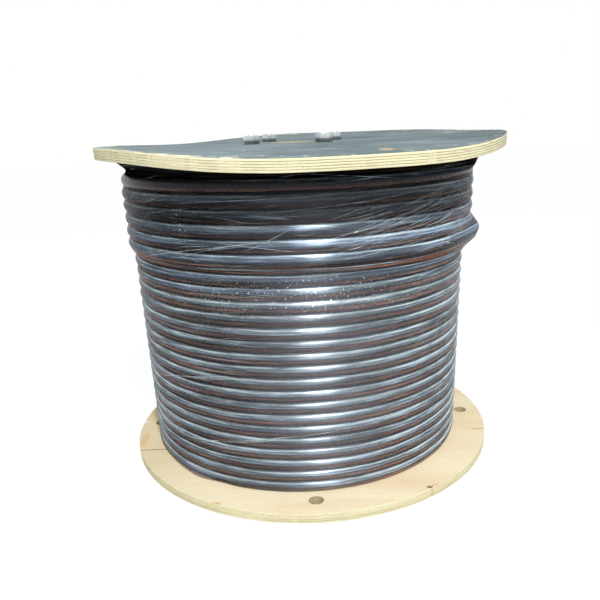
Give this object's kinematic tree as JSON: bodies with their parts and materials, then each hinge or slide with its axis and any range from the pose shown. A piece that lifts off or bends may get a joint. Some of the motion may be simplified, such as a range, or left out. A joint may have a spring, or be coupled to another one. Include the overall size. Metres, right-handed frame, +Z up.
{
  "type": "reel of coaxial cable",
  "caption": "Plywood cable reel standing on its end, level-wound with black coaxial cable under clear stretch film, with an open arbor hole through both flanges.",
  "frame": {"origin": "centre of the bottom flange's outer face, which the reel stands on", "axes": "+Z up along the reel's axis, -Y towards the front of the picture, +X to the right"},
  "size_m": [0.3556, 0.3556, 0.2902],
  "materials": {
    "plywood": "raw veneer, sawn ply edge",
    "painted_plywood": "worn slate grey paint on the outer face, sawn ply edge",
    "barrel_fibre": "matt wound fibre",
    "cable_jacket": "smooth extruded jacket",
    "film": "clear stretch film, wrinkled",
    "zinc": "bright zinc plate"
  },
  "bodies": {
    "root": {"bottom_flange": "plywood", "top_flange": "painted_plywood", "barrel": "barrel_fibre", "cable_winding": "cable_jacket", "stretch_film": "film", "tie_bolt_1": "zinc", "tie_bolt_2": "zinc", "tie_bolt_3": "zinc", "tie_bolt_4": "zinc", "tie_nut_1": "zinc", "tie_nut_2": "zinc", "tie_nut_3": "zinc", "tie_nut_4": "zinc"}
  },
  "joints": []
}
